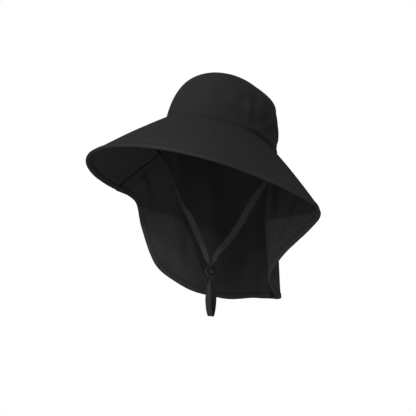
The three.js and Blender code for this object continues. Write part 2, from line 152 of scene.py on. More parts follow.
# %% Grids laid in space
def grid(columns, rows):
    """A grid in a bmesh, its vertices numbered in reading order in the layer 'place'."""
    bm = bmesh.new()
    bmesh.ops.create_grid(bm, x_segments=columns, y_segments=rows, size=1, calc_uvs=True)
    place = bm.verts.layers.int.new("place")
    for v in bm.verts:
        i = round((v.co.x + 1) / 2 * columns)
        j = round((1 - v.co.y) / 2 * rows)
        v[place] = j * (columns + 1) + i
    return bm, place


def lay(bm, place, columns, point, flat):
    """Carries the grid's vertices to point(i, j) and its map to flat(i, j), both in mm."""
    chart = bm.loops.layers.uv.verify()
    for face in bm.faces:
        for loop in face.loops:
            j, i = divmod(loop.vert[place], columns + 1)
            u, v = flat(i, j)
            loop[chart].uv = (u * MM, v * MM)
    for v in bm.verts:
        j, i = divmod(v[place], columns + 1)
        v.co = point(i, j) * MM


def walked(points):
    """How far along the line of points each point lies."""
    far = [0]
    for a, b in zip(points, points[1:]):
        far.append(far[-1] + math.dist(a, b))
    return far


def finished(bm, name):
    """Turns a bmesh into a piece of the scene, its faces looking out."""
    bmesh.ops.recalc_face_normals(bm, faces=bm.faces[:])
    volume = bm.calc_volume(signed=True)
    if volume < 0:
        bmesh.ops.reverse_faces(bm, faces=bm.faces[:])
    mesh = bpy.data.meshes.new(name)
    bm.to_mesh(mesh)
    bm.free()
    for face in mesh.polygons:
        face.use_smooth = True
    piece = bpy.data.objects.new(name, mesh)
    bpy.context.scene.collection.objects.link(piece)
    print(name, len(mesh.polygons), "faces,", round(abs(volume) * 1e6, 2), "cm3")
    return piece


def tube(name, stations, outline, lengths):
    """A closed skin: stations(k) gives the points of section k, as many as outline has."""
    around, along = len(outline), len(lengths) - 1
    sections = [stations(k) for k in range(along + 1)]
    bm, place = grid(around, along)
    walk = walked(outline + outline[:1])
    lay(
        bm, place, around,
        lambda i, j: sections[j][i % around],
        lambda i, j: (walk[i], lengths[j]),
    )
    bmesh.ops.remove_doubles(bm, verts=bm.verts[:], dist=1e-7)
    rims = [e for e in bm.edges if e.is_boundary]
    bmesh.ops.holes_fill(bm, edges=rims, sides=0)
    return finished(bm, name)


# %% [markdown]
# ## The chin tape
#
# One flat woven tape, 10 mm wide, is sewn in under both ends of the brim and runs down, through
# the stopper, round a loop and back up. It could be a curve with a bevel, but a curve twists as
# it likes. Here each station names the way that the tape's width points, so the tape can turn
# on its way down and be squeezed narrow in the stopper, as the real one is. The route runs
# through the same points as that of the solid.

# %% The route of the tape
STRAP_WIDTH, STRAP_CLOTH, STRAP_SQUEEZED, STRAP_AT = 10, 1.5, 5, 0.25
TAIL_DROP, TAIL_SPREAD, TAIL_TURN = 254, 13, 40
STOPPER_AT = Vector((-7, -16, -188.8))
STOPPER_TURN, STOPPER_ROUND, STOPPER_LENGTH = 33, 16.5, 16.4
stopper_across = Vector((cos(STOPPER_TURN), sin(STOPPER_TURN), 0))
stopper_axis = Vector((stopper_across.y, -stopper_across.x, 0))


def sewn(side, away):
    """Where the tape leaves the brim's underside, square to it."""
    turn = side * (BRIM_END - 5)
    p = brim_point(turn, STRAP_AT)
    along = brim_point(turn + 1, STRAP_AT) - p
    up = (brim_point(turn, STRAP_AT + 0.02) - p).cross(along).normalized()
    return p - up * (BRIM_CLOTH / 2 + GAP + away)


def in_stopper(side, up):
    """A point of one run inside the stopper, up mm above its middle."""
    run = STRAP_CLOTH / 2 + GAP / 2
    return STOPPER_AT + Vector((0, 0, up)) + stopper_across * side * run


def in_tail(side, share, apart):
    """A point of the loop below the stopper, apart mm to one side of its middle."""
    face = STOPPER_TURN - TAIL_TURN
    aside = Vector((sin(face), -cos(face), 0))
    x, y, z = STOPPER_AT
    return Vector((x - 0.5 * share, y, lerp(z, -TAIL_DROP, share))) - aside * side * apart


RIGHT_RUN = [  # left, back, up in mm; the way of the width in degrees
    (-92.5, -1.5, -33, -50), (-79.3, -4, -56, -42), (-64.4, -6.5, -86.7, -30),
    (-46.5, -9, -111.4, -5), (-30.5, -12, -138, 5), (-20.5, -13.5, -157, -10),
]
LEFT_RUN = [
    (4.5, -14.5, -160, -12), (17.2, -13, -147.2, 5), (34, -11, -125.2, 12),
    (49.3, -11, -101.5, 25), (64, -12, -80, 45), (79.5, -10, -58, 60),
]
tail_face, inside = STOPPER_TURN - TAIL_TURN, STOPPER_TURN - 90
past_stopper, loop = STOPPER_ROUND / 2 + 1.5, TAIL_SPREAD / 2
tail = [  # share of the way down, mm to the side, the way of the width, the width
    (0.32, loop * 0.72, lerp(inside, tail_face, 0.8), 8), (0.62, loop, tail_face, STRAP_WIDTH),
    (0.9, loop * 0.55, tail_face, STRAP_WIDTH),
]
route = [(sewn(-1, away), -73, STRAP_WIDTH) for away in (0.1, 8)]
route += [(Vector((x, y, z)), face, STRAP_WIDTH) for x, y, z, face in RIGHT_RUN]
route += [(Vector((-12.6, -15.5, -172)), -20, 8.8)]
route += [(in_stopper(-1, up), inside, STRAP_SQUEEZED) for up in (past_stopper, 0, -past_stopper)]
route += [(in_tail(-1, *row[:2]), *row[2:]) for row in tail]
route += [(in_tail(0, 1, 0), tail_face, STRAP_WIDTH)]
route += [(in_tail(1, *row[:2]), *row[2:]) for row in tail[::-1]]
route += [(in_stopper(1, up), inside, STRAP_SQUEEZED) for up in (-past_stopper, 0, past_stopper)]
route += [(Vector((-1.8, -15, -170.5)), -20, 8.8)]
route += [(Vector((x, y, z)), face, STRAP_WIDTH) for x, y, z, face in LEFT_RUN]
route += [(sewn(1, away), 75, STRAP_WIDTH) for away in (10, 0.1)]


def on_curve(points, place):
    """A point of the smooth curve through all points; place counts them."""
    last = len(points) - 1
    i = min(int(place), last - 1)
    t = place - i
    b, c = points[i], points[i + 1]
    a = points[i - 1] if i else 2 * b - c
    d = points[i + 2] if i + 2 <= last else 2 * c - b
    r, s, q = (math.sqrt((n - m).length) for m, n in ((a, b), (b, c), (c, d)))
    start = ((b - a) / r - (c - a) / (r + s) + (c - b) / s) * s
    end = ((c - b) / s - (d - b) / (s + q) + (d - c) / q) * s
    return (
        b * (2 * t**3 - 3 * t**2 + 1)
        + start * (t**3 - 2 * t**2 + t)
        + c * (3 * t**2 - 2 * t**3)
        + end * (t**3 - t**2)
    )


# %% The tape
TAPE_STEPS = 12  # sections between two stations
TAPE_EDGE = [(0.5, 0), (0.492, 0.3), (0.462, 0.47), (0.425, 0.5), (0.385, 0.43), (0.35, 0.36)]
TAPE_EDGE += [(0.25, 0.35), (0.12, 0.36)]
tape_outline = TAPE_EDGE + [(0, 0.36)] + [(-w, t) for w, t in TAPE_EDGE[::-1]]
tape_outline += [(w, -t) for w, t in tape_outline[::-1][1:-1]]
stations = [p for p, face, wide in route]
steps = (len(stations) - 1) * TAPE_STEPS
tape_middle = [on_curve(stations, k / TAPE_STEPS) for k in range(steps + 1)]
tape_lengths = walked(tape_middle)


def tape_section(k):
    """The tape's outline at section k, turned the way that the stations on both sides say."""
    i = min(k // TAPE_STEPS, len(route) - 2)
    share = k / TAPE_STEPS - i
    face = lerp(route[i][1], route[i + 1][1], share)
    wide = lerp(route[i][2], route[i + 1][2], share)
    along = tape_middle[min(k + 1, steps)] - tape_middle[max(k - 1, 0)]
    along.normalize()
    width = Vector((cos(face), sin(face), 0))
    width = (width - along * width.dot(along)).normalized()
    thick = along.cross(width)
    return [tape_middle[k] + width * w * wide + thick * t * STRAP_CLOTH for w, t in tape_outline]


tape_round = [(w * STRAP_WIDTH, t * STRAP_CLOTH) for w, t in tape_outline]
chin_tape = tube("chin_tape", tape_section, tape_round, tape_lengths)
print("the tape is", round(tape_lengths[-1]), "mm long")

# %% [markdown]
# ## The stopper
#
# A moulded barrel with a sprung button in its face. Both are turned parts, so a half profile
# is spun round the axis, which keeps their rims crisp. The raised ring round the button
# catches the light as on the real one. The holes for the tape are cut with a boolean, because
# a square hole through a round barrel has no simple profile.

# %% Turned parts
AROUND, ROUND_STEPS = 72, 3  # steps round a turned part, and round a corner of its profile


def turned(name, profile, to_place):
    """Spins a profile of (radius, height) round Z and lays it with the matrix to_place."""
    bm = bmesh.new()
    line = [bm.verts.new((r * MM, 0, z * MM)) for r, z in profile]
    edges = [bm.edges.new(pair) for pair in zip(line, line[1:])]
    bmesh.ops.spin(
        bm, geom=line + edges, cent=(0, 0, 0), axis=(0, 0, 1), angle=2 * math.pi,
        steps=AROUND, use_merge=True, use_duplicate=False,
    )
    bmesh.ops.remove_doubles(bm, verts=bm.verts[:], dist=1e-6)
    bmesh.ops.transform(bm, matrix=to_place, verts=bm.verts[:])
    return finished(bm, name)


def rounded(profile, reach):
    """A profile with its inner corners rounded by reach mm."""
    points = [profile[0]]
    for a, b, c in zip(profile, profile[1:], profile[2:]):
        a, b, c = Vector(a), Vector(b), Vector(c)
        cut = min(reach, 0.45 * (a - b).length, 0.45 * (c - b).length)
        start, end = b + (a - b).normalized() * cut, b + (c - b).normalized() * cut
        for k in range(ROUND_STEPS + 1):
            t = k / ROUND_STEPS
            p = start * (1 - t) ** 2 + b * 2 * t * (1 - t) + end * t**2
            points.append(tuple(p))
    return points + [profile[-1]]


def placing(axes, at):
    """The matrix that has these axes as its columns and carries the origin to at, in metres."""
    return Matrix.Translation(at) @ Matrix(axes).transposed().to_4x4()


strap_start, strap_room = -2.2, STRAP_SQUEEZED + 2 * GAP
stopper_middle = STOPPER_AT - stopper_axis * (strap_start + strap_room / 2)
to_stopper = placing((stopper_across, Vector((0, 0, 1)), stopper_axis), stopper_middle * MM)

front, radius = STOPPER_LENGTH / 2, STOPPER_ROUND / 2
button_radius, button_travel, button_shows, button_wall = 4.4, 3, 3.8, 1.2
button_back = strap_start - button_wall
bore, bore_back = button_radius + GAP, button_back - button_travel - GAP
SHELL = [
    (0, -front), (0.62 * radius, -0.97 * front), (0.88 * radius, -0.72 * front),
    (radius, -0.28 * front), (radius, 0.3 * front), (0.95 * radius, 0.66 * front),
    (0.9 * radius, 0.94 * front), (0.8 * radius, front), (0.74 * radius, 0.98 * front),
    (0.7 * radius, 0.86 * front), (0.65 * radius, 0.84 * front), (bore + 0.25, 0.9 * front),
    (bore, 0.84 * front), (bore, bore_back), (0, bore_back),
]
stopper_shell = turned("stopper_shell", rounded(SHELL, 0.45), to_stopper)

button_front = front + button_shows
PLUNGER = [
    (0, button_back), (button_radius, button_back), (button_radius, button_front - 0.7),
    (button_radius - 0.7, button_front), (button_radius - 1.5, button_front),
    (button_radius - 1.9, button_front - 0.45), (1.3, button_front - 0.55), (0, button_front - 0.6),
]
stopper_plunger = turned("stopper_plunger", rounded(PLUNGER, 0.35), to_stopper)

# %% The hole for the tape
HOLE_ROUND = 0.9


def cut_hole(piece, low, high):
    """Cuts a rounded block out of a piece; low and high are its corners along the barrel."""
    bm = bmesh.new()
    bmesh.ops.create_cube(bm, size=1)
    size = [(b - a) * MM for a, b in zip(low, high)]
    middle = [(b + a) / 2 * MM for a, b in zip(low, high)]
    bmesh.ops.scale(bm, vec=size, verts=bm.verts[:])
    bmesh.ops.translate(bm, vec=middle, verts=bm.verts[:])
    upright = [e for e in bm.edges if abs(e.verts[0].co.y - e.verts[1].co.y) > 1e-6]
    bmesh.ops.bevel(
        bm, geom=upright, offset=HOLE_ROUND * MM, segments=3, profile=0.5, affect="EDGES",
        material=-1,
    )
    bmesh.ops.transform(bm, matrix=to_stopper, verts=bm.verts[:])
    tool = finished(bm, "hole")
    cut = piece.modifiers.new("hole", "BOOLEAN")
    cut.operation, cut.object, cut.solver = "DIFFERENCE", tool, "EXACT"
    ready = piece.evaluated_get(bpy.context.evaluated_depsgraph_get())
    piece.modifiers.clear()
    piece.data = bpy.data.meshes.new_from_object(ready)
    bpy.data.objects.remove(tool)


slot_wide, through = (2 * STRAP_CLOTH + 3 * GAP) / 2, 20
bpy.context.view_layer.update()
for piece, more in ((stopper_shell, 0), (stopper_plunger, button_travel)):
    high = (slot_wide, through, strap_start + strap_room + more)
    cut_hole(piece, (-slot_wide, -through, strap_start), high)
print("stopper", len(stopper_shell.data.polygons), "faces with its hole")

# %% [markdown]
# ## Cloth as a thin closed wall
#
# A sheet of cloth is a grid that follows the hat's form. It could be a single skin with a
# Solidify modifier, but then both of its faces carry the same dents. Here the wall is
# extruded and each side is pushed out by its own amount, so that a line of stitches can pull
# the cloth in from both sides. `us` and `vs` are the shares where the columns and rows stand:
# close together at a seam, wide apart where the cloth is plain.

# %% Cloth
def cloth(name, us, vs, point, half, flat):
    """A wall of cloth; half(u, v, side) is how far each side stands off the middle, in mm."""
    columns, rows = len(us) - 1, len(vs) - 1
    bm, place = grid(columns, rows)
    lay(
        bm, place, columns,
        lambda i, j: point(us[i], vs[j]),
        lambda i, j: flat(us[i], vs[j]),
    )
    bmesh.ops.remove_doubles(bm, verts=bm.verts[:], dist=1e-7)
    loose = [f for f in bm.faces if f.calc_area() < 1e-12]
    bmesh.ops.delete(bm, geom=loose, context="FACES")
    bmesh.ops.recalc_face_normals(bm, faces=bm.faces[:])
    bm.normal_update()
    normals = {v[place]: v.normal.copy() for v in bm.verts}
    made = bmesh.ops.extrude_face_region(bm, geom=bm.faces[:], use_keep_orig=True)
    outer = {e for e in made["geom"] if isinstance(e, bmesh.types.BMVert)}
    for v in bm.verts:
        j, i = divmod(v[place], columns + 1)
        side = 1 if v in outer else -1
        v.co += normals[v[place]] * side * half(us[i], vs[j], side) * MM
    return finished(bm, name)


def evenly(count, low=0, high=1):
    return [lerp(low, high, k / count) for k in range(count + 1)]


# %% [markdown]
# ## The brim
#
# Two layers of cloth over a stiffener, held together by rows of stitching that run round
# the brim. Each row pulls the cloth in to a shallow channel. The rows of the mesh stand close
# together at each channel, which costs far fewer faces than a fine mesh all over. Smooth noise
# bends the brim a little and keeps the quilting from looking stamped.

# %% Brim cloth
STITCH_ROWS, FIRST_ROW, LAST_ROW = 18, 0.06, 0.925
CHANNEL_WIDE, CHANNEL_DEEP = 0.005, 0.13
BRIM_SHORT = 0.0042  # the cloth ends this share short of the fold of its hem
BRIM_WAVE, BRIM_FUZZ, CROWN_FUZZ = 0.5, 0.07, 0.05
row_shares = evenly(STITCH_ROWS - 1, FIRST_ROW, LAST_ROW)
brim_vs = {-0.008, 0.0, 0.008, 0.016, 0.026, 1 - BRIM_SHORT}
for k, share in enumerate(row_shares):
    for step in (-2, -0.9, 0, 0.9, 2):
        brim_vs.add(round(share + step * CHANNEL_WIDE, 6))
    if k:
        brim_vs.add((share + row_shares[k - 1]) / 2)
brim_vs = sorted(brim_vs)


def seam_in(off, deep=0.55, reach=0.9):
    """How far cloth turns in beside a seam that is off mm away."""
    return deep * math.exp(-((off / reach) ** 2))


def channel(share):
    near = min(abs(share - row) for row in row_shares)
    return math.exp(-((near / CHANNEL_WIDE) ** 2))


def puff(point, size, seed=0.0):
    """Smooth noise from -1 to 1 with lumps of that size in mm."""
    return noise.noise(point / size + Vector((seed, seed * 2, -seed)))


def brim_angle(u):
    return lerp(-BRIM_END, BRIM_END, u)


def brim_middle(u, v):
    p = brim_point(brim_angle(u), v)
    return p + Vector((0, 0, BRIM_WAVE * v * puff(p, 45, 3)))


def brim_half(u, v, side):
    turned_in = CHANNEL_DEEP * channel(v) + seam_in(v * BRIM_WIDTH, 0.6, 1)
    return BRIM_CLOTH / 2 - turned_in + BRIM_FUZZ * puff(brim_point(brim_angle(u), v), 6, side)


def brim_flat(u, v):
    p = worn.transposed() @ brim_point(brim_angle(u), v)
    return p.x / cos(BRIM_SLOPE), p.y / cos(BRIM_SLOPE)


brim_cloth = cloth("brim_cloth", evenly(260), brim_vs, brim_middle, brim_half, brim_flat)

# %% [markdown]
# ## The crown
#
# A dome of cloth sewn to a band. The dome is gathered at the back and the sides, so it
# puckers along the seam, and it has a few soft dents from being folded. Both parts turn in at
# the seam, which leaves the narrow groove that shows as a line. The puckers stand where smooth
# noise crosses zero, which makes sharp creases that wander and fork, and they die away from
# the seam. Behind the front, the band bulges over the brim's seam.

# %% Crown form
GATHERS_FROM, GATHERS_FULL, GATHERS_SHOWN = 62, 95, 0.3
CROWN_FLATTER = 2.4  # mm that the top is lower than its arch
DENTS = [  # angle, height, depth, width in degrees, tall, slant
    (33, 0.45, 0.6, 6, 0.15, 20), (20, 0.58, -0.4, 6, 0.24, 35), (6, 0.66, 0.4, 6, 0.2, 35),
    (50, 0.4, 0.5, 4, 0.08, 20), (66, 0.58, 0.55, 6, 0.2, 28), (58, 0.34, -0.7, 3.5, 0.12, 0),
    (79, 0.76, 0.9, 4, 0.08, 0), (80, 0.35, 1.5, 3, 0.09, 44), (87, 0.4, -0.8, 3, 0.1, 30),
    (93, 0.27, 2, 3, 0.06, 0), (98, 0.37, -1, 3, 0.05, 0), (98, 0.21, -0.9, 3, 0.05, 0),
    (108, 0.42, 1.5, 4, 0.12, 0), (96, 0.7, -1.7, 15, 0.15, 0), (112, 0.2, 0.9, 12, 0.14, 0),
    (66, 0.17, 0.3, 5, 0.07, 0), (73, 0.2, -0.5, 3, 0.07, 0), (84, 0.17, 1.2, 4, 0.06, 0),
    (104, 0.84, 0.5, 7, 0.06, 0), (74, 0.5, -0.5, 4, 0.14, 10), (-58, 0.5, 0.4, 9, 0.24, 30),
    (150, 0.62, 0.8, 10, 0.24, 20), (-150, 0.58, 0.8, 10, 0.24, -25),
    (-104, 0.66, 0.6, 8, 0.2, -30), (178, 0.8, 0.5, 16, 0.12, 0),
]
band_share = BAND_HEIGHT / CROWN_HEIGHT


def puckers(angle, height):
    """Short sharp creases across the band's seam, at the back and the sides alone."""
    back = smooth(abs(angle), 70, 100)
    off = (height - band_share) * CROWN_HEIGHT
    reach = 17 if off > 0 else 9
    around = Vector((9 * sin(angle), 9 * cos(angle), off / 26))
    creases = sum(
        size * math.exp(-((noise.noise(around * size + Vector((3 * size, 1, 7))) / 0.16) ** 2))
        for size in (1, 0.55)
    )
    return back * (1.1 - 1.9 * creases) * math.exp(-((off / reach) ** 2))


def tucked(angle, height):
    """Behind the front, the band bulges over the seam below it."""
    off = height * CROWN_HEIGHT
    fold = 2.2 * math.exp(-(((off - 9) / 4) ** 2)) - 2 * math.exp(-(((off - 1.5) / 2.6) ** 2))
    return fold * smooth(abs(angle), 52, 76)


def crown_point(angle, height):
    up = max(height, 0)
    taper = math.sqrt(max(1 - up**CROWN_SQUARE, 0))
    side = abs(angle)
    gathered = smooth(side, GATHERS_FROM, GATHERS_FULL) * (1 - smooth(up, 0.35, 0.95))
    wave = math.cos((math.radians(side) - math.pi) * 2 * GATHERS)
    push = GATHERS_SHOWN * GATHER_DEPTH * gathered * wave
    for at, high, deep, wide, tall, slant in DENTS:
        off = (((angle - at + 540) % 360) - 180 - slant * (up - high)) / wide
        push -= deep * DENT_DEPTH * math.exp(-(off**2) - ((up - high) / tall) ** 2)
    push *= smooth(up, -0.02, 0.16) * (1 - smooth(up, 0.9, 1))
    push += puckers(angle, height) * (1 - smooth(up, 0.7, 1)) + tucked(angle, height)
    x, y = sin(angle), -cos(angle)
    return worn @ Vector((
        x * (HEAD_WIDTH / 2 * taper + push),
        y * (HEAD_LENGTH / 2 * taper + push),
        CROWN_HEIGHT * height - CROWN_FLATTER * smooth(height, 0.6, 1),
    ))


def crown_angle(u):
    return 360 * u - 180


def crown_flat(u, v):
    mean_radius = (HEAD_WIDTH + HEAD_LENGTH) / 4
    return math.radians(crown_angle(u)) * mean_radius, v * CROWN_HEIGHT


# %% Crown dome and band
dome_start = band_share - 0.5 / CROWN_HEIGHT


def dome_height(v):
    return lerp(dome_start, 1, 1 - (1 - v) ** 1.8)


def dome_half(u, v, side):
    off = (dome_height(v) - dome_start) * CROWN_HEIGHT
    p = crown_point(crown_angle(u), dome_height(v))
    return CROWN_CLOTH / 2 - seam_in(off) + CROWN_FUZZ * puff(p, 7, side)


def band_height(v):
    return lerp(-2 / CROWN_HEIGHT, band_share, v)


def band_half(u, v, side):
    off = (band_share - band_height(v)) * CROWN_HEIGHT
    p = crown_point(crown_angle(u), band_height(v))
    turned_in = seam_in(off, 0.45, 0.8) + seam_in(off - 2.4, 0.14, 0.7)
    turned_in += seam_in(band_height(v) * CROWN_HEIGHT, 0.4, 1.6)
    return CROWN_CLOTH / 2 - turned_in + CROWN_FUZZ * puff(p, 7, side)


dome_vs = sorted({0, 0.004, 0.009, 0.014, 0.018, 0.022, 0.028, 0.035, *evenly(64, 0.045, 1)})
crown_dome = cloth(
    "crown_dome_cloth", evenly(360), dome_vs,
    lambda u, v: crown_point(crown_angle(u), dome_height(v)), dome_half,
    lambda u, v: crown_flat(u, dome_height(v)),
)
band_vs = sorted({*evenly(30, 0, 0.86), 0.88, 0.9, 0.911, 0.92, 0.935, 0.95, 0.965, 0.98, 1})
crown_band = cloth(
    "crown_band_cloth", evenly(360), band_vs,
    lambda u, v: crown_point(crown_angle(u), band_height(v)), band_half,
    lambda u, v: crown_flat(u, band_height(v)),
)

# %% [markdown]
# ## The cape
#
# One piece of thin cloth hangs from the two ends of the brim and from the back of the crown.
# Its lower edge is a short table: where it runs to the left, back and down, as shares of the
# cape's sizes. Soft folds stand out of it halfway down, and a second table lays small creases
# over them. A cloth simulation would find its own folds. The ones in the photograph are
# particular, so they are given in the tables.

# %% Cape form
HEM = [  # across, left, back, down
    (0, -1.009, -0.121, 0.286), (0.02, -0.914, -0.06, 0.318), (0.04, -0.855, 0, 0.37),
    (0.08, -0.836, 0.06, 0.517), (0.145, -0.765, 0.205, 0.76), (0.2, -0.674, 0.415, 0.873),
    (0.28, -0.526, 0.655, 0.96), (0.38, -0.314, 0.885, 1.005), (0.5, -0.069, 0.985, 0.995),
    (0.62, 0.17, 0.835, 0.985), (0.72, 0.336, 0.585, 0.965), (0.8, 0.429, 0.225, 0.925),
    (0.833, 0.432, 0.06, 0.835), (0.857, 0.474, 0.005, 0.773), (0.9, 0.6, -0.03, 0.665),
    (0.955, 0.805, -0.075, 0.542), (0.974, 0.89, -0.096, 0.487), (0.985, 0.927, -0.107, 0.458),
    (0.993, 0.942, -0.119, 0.43), (1, 0.935, -0.126, 0.407),
]
FOLDS = [  # across, width, left, back
    (0.8, 0.045, -0.7, -1), (0.5, 0.09, 0, 0.7), (0.34, 0.04, 0.3, -0.45),
    (0.16, 0.035, 0.25, 0.55), (0.23, 0.03, -0.4, -0.45),
]


def cape_top(across):
    left = 1 if across > 0.5 else -1
    from_end = min(across, 1 - across)
    if from_end > CAPE_SEAM:
        turn = lerp(BRIM_END, 180, (from_end - CAPE_SEAM) / (0.5 - CAPE_SEAM))
        out = Vector((sin(turn) * left, -cos(turn), 0))
        ring = Vector((out.x * HEAD_WIDTH / 2, out.y * HEAD_LENGTH / 2, 1))
        return worn @ (ring + out * ((CROWN_CLOTH + CAPE_CLOTH) / 2))
    share = 1 - from_end / CAPE_SEAM
    thick = CAPE_CLOTH + 2 * (GAP + BINDING_CLOTH) * smooth(share, 0.8, 1)
    end = brim_point(left * BRIM_END, share)
    beside = brim_point(left * (BRIM_END - 1), share)
    return end + (end - beside).normalized() * (thick / 2 - 0.7 * (1 - smooth(share, 0.8, 0.9)))


def hung(across, down):
    """The cape with its large folds alone."""
    low = Vector((
        CAPE_SPREAD * read(HEM, across, 1),
        CAPE_DEPTH * read(HEM, across, 2),
        -CAPE_DROP * read(HEM, across, 3),
    ))
    from_end = min(across, 1 - across)
    top, off = cape_top(across), abs(from_end - CAPE_SEAM)
    reach = 0.04 * smooth(down, 0, 0.3) * (1 - smooth(off, 0.03, 0.09))
    if reach:
        shifts = [across + reach * part for part in (-1, -0.6, -0.2, 0.2, 0.6, 1)]
        top = sum((cape_top(shift) for shift in shifts), Vector()) / len(shifts)
    p = top.lerp(low, down)
    ripple = CAPE_RIPPLE * max(down, 0) ** 1.5 * math.sin(across * CAPE_RIPPLES * math.pi)
    p.y += ripple * smooth(from_end, 0.2, 0.3)
    middle = math.sin(math.pi * min(down, 1)) * smooth(from_end, 0, 0.1)
    for at, wide, left, back in FOLDS:
        near = CAPE_FOLD * math.exp(-(((across - at) / wide) ** 2)) * middle
        p.x += left * near
        p.y += back * near
    return p


CREASES = [  # from across, down, to across, down, width, depth in mm
    (0.088, -0.06, 0.12, 0.38, 4.2, 4), (0.135, 0.22, 0.117, 0.62, 4.5, 3.2),
    (0.09, 0.14, 0.1, 0.3, 6, -2), (0.834, 0.0, 0.852, 0.5, 6, 8),
    (0.915, 0.16, 0.895, 0.5, 6, 2.5), (0.89, 0.52, 0.862, 0.8, 7, 1.6),
    (0.27, 0.3, 0.25, 0.9, 9, 3), (0.68, 0.06, 0.7, 0.6, 9, 3),
]
CAPE_WIDE, CAPE_TALL = 640, 200  # the cape spread out, in mm, for the creases


def spread_out(across, down):
    return Vector((across * CAPE_WIDE, down * CAPE_TALL))


def crease(across, down):
    """How far the small creases push the cloth back from the face, in mm."""
    push = 0
    for a, b, c, d, wide, deep in CREASES:
        start, end = spread_out(a, b), spread_out(c, d)
        here, way = spread_out(across, down) - start, end - start
        share = here.dot(way) / way.length_squared
        off = (here - way * min(max(share, 0), 1)).length / wide
        if off < 3:
            fade = smooth(share, -0.1, 0.4) * smooth(-share, -1.1, -0.6)
            push += deep * math.exp(-(off**2)) * fade
    return push


def cape_point(across, down):
    p = hung(across, down)
    push = crease(across, down)
    if abs(push) < 0.02:
        return p
    along = hung(min(across + 0.01, 1), down) - hung(max(across - 0.01, 0), down)
    return p + Vector((-along.y, along.x, 0)).normalized() * push * smooth(down, 0, 0.06)


# %% Cape cloth
CAPE_MAP = (760, 235)  # size of the cape's map, in mm
cape_us = evenly(280)
cape_vs = sorted({*evenly(70, 0, 0.93), 0.94, 0.95, 0.96, 0.97, 0.98, 0.988, 0.994})
cape_cloth = cloth(
    "neck_cape_cloth", cape_us, cape_vs, cape_point,
    lambda u, v, side: CAPE_CLOTH / 2,
    lambda u, v: (u * CAPE_MAP[0], v * CAPE_MAP[1]),
)
hem_length = walked([cape_point(u, 1) for u in cape_us])[-1]
top_length = walked([cape_top(u) for u in cape_us])[-1]
drop = max(math.dist(cape_point(u, 1), cape_point(u, 0)) for u in cape_us)
cape_area = sum(f.area for f in cape_cloth.data.polygons) / 2
print("cape: hem", round(hem_length), "top", round(top_length), "drop", round(drop), "mm")
print("cape area", round(cape_area, 4), "m2")

# %% [markdown]
# ## Folded hems
#
# A strip of the same cloth is folded over the brim's edge, and the cape's edge is turned up in
# the same way. In section both are a U. Its legs are stitched through near their ends, which
# pinches them, and the fold itself stays round. Where the cape is rumpled, a step straight in
# from its edge is hard to work out, so that point is looked up on a net laid over the cape. The
# brim's strip runs on round both of its corners and ends on the cape's.

# %% A hem along any edge
LEG = [  # share of the way in, pinch in mm
    (0.15, 0), (0.4, 0), (0.6, 0.04), (0.74, 0.2), (0.8, 0.4), (0.85, 0.45), (0.9, 0.3), (1, 0.45),
]
HEM_WAVE, LEG_START = 0.12, 0.36


def hem(name, count, within, covered):
    """A folded strip over a sheet's edge; within(u, depth) lies depth mm in from the edge."""
    nose, hole = covered / 2, covered / 2 + GAP
    outside = hole + BINDING_CLOTH
    rims, middle_row, inner = (
        [within(u, depth) for u in evenly(count)] for depth in (0, BINDING_DEPTH / 2, BINDING_DEPTH)
    )

    def section(k):
        before, after = max(k - 1, 0), min(k + 1, count)
        along = (rims[after] - rims[before]).normalized()
        out = rims[k] - middle_row[k]
        out = (out - along * out.dot(along)).normalized()
        into = middle_row[k] - inner[k]
        into = (into - along * into.dot(along)).normalized()
        up, up_in = along.cross(out), along.cross(into)
        wave = HEM_WAVE * puff(rims[k], 6, 5)
        swell, fold = outside + wave, rims[k] + out * GAP
        nose_round = [
            rims[k] + out * (swell * sin(turn) - nose) + up * swell * cos(turn)
            for turn in range(0, 181, 20)
        ]
        under, over = (
            [
                leg_point(k, share, side * (outside - pinch + wave * (1 - share)), up, up_in)
                for share, pinch in LEG
            ]
            for side in (-1, 1)
        )
        inside_under = [inner[k] - up_in * hole, fold - up * hole]
        inside_over = [fold + up * hole, inner[k] + up_in * hole]
        return nose_round + under + inside_under + inside_over + over[::-1]

    def leg_point(k, share, high, up, up_in):
        """A point beside the sheet, share of the way from the rim's fold to the inner end."""
        start = rims[k] + (middle_row[k] - rims[k]) * LEG_START
        if share < 0.5:
            p = start.lerp(middle_row[k], share * 2)
        else:
            p = middle_row[k].lerp(inner[k], share * 2 - 1)
        return p + up.lerp(up_in, share).normalized() * high

    outline = [(far, 0) for far in walked(section(count // 2))]
    return tube(name, section, outline, walked(rims))


def sheet_net(shape, across, down):
    """A net of flat patches over a sheet, to look up its nearest point in."""
    width = down + 1
    places = [shape(i / across, j / down) for i in range(across + 1) for j in range(width)]
    patches = [
        (i * width + j, i * width + j + 1, (i + 1) * width + j + 1, (i + 1) * width + j)
        for i in range(across) for j in range(down)
    ]
    return BVHTree.FromPolygons(places, patches)


# %% Where both hems run
RUN_ON, CAPE_RUN, CAPE_START, RIM_STEP = 0.012, 0.014, 0.002, 0.002  # shares of an edge
NET_REACH, RIM_IN = 11, 0.8  # mm
cape_net = sheet_net(cape_point, 240, 60)


def in_cape(u, depth):
    """The cape depth mm in from its lower edge, square to that edge."""
    u = lerp(CAPE_START, 1 - CAPE_START, u)
    rim = cape_point(u, 1)
    along = cape_point(min(u + RIM_STEP, 1), 1) - cape_point(max(u - RIM_STEP, 0), 1)
    into = Vector()
    for place, _, _, far in cape_net.find_nearest_range(rim, NET_REACH):
        into += (place - rim) * (NET_REACH - far)
    into = (into - along * into.dot(along) / along.length_squared).normalized()
    p = rim + into * (depth + RIM_IN)
    return cape_net.find_nearest(p)[0] if depth > 0 else p


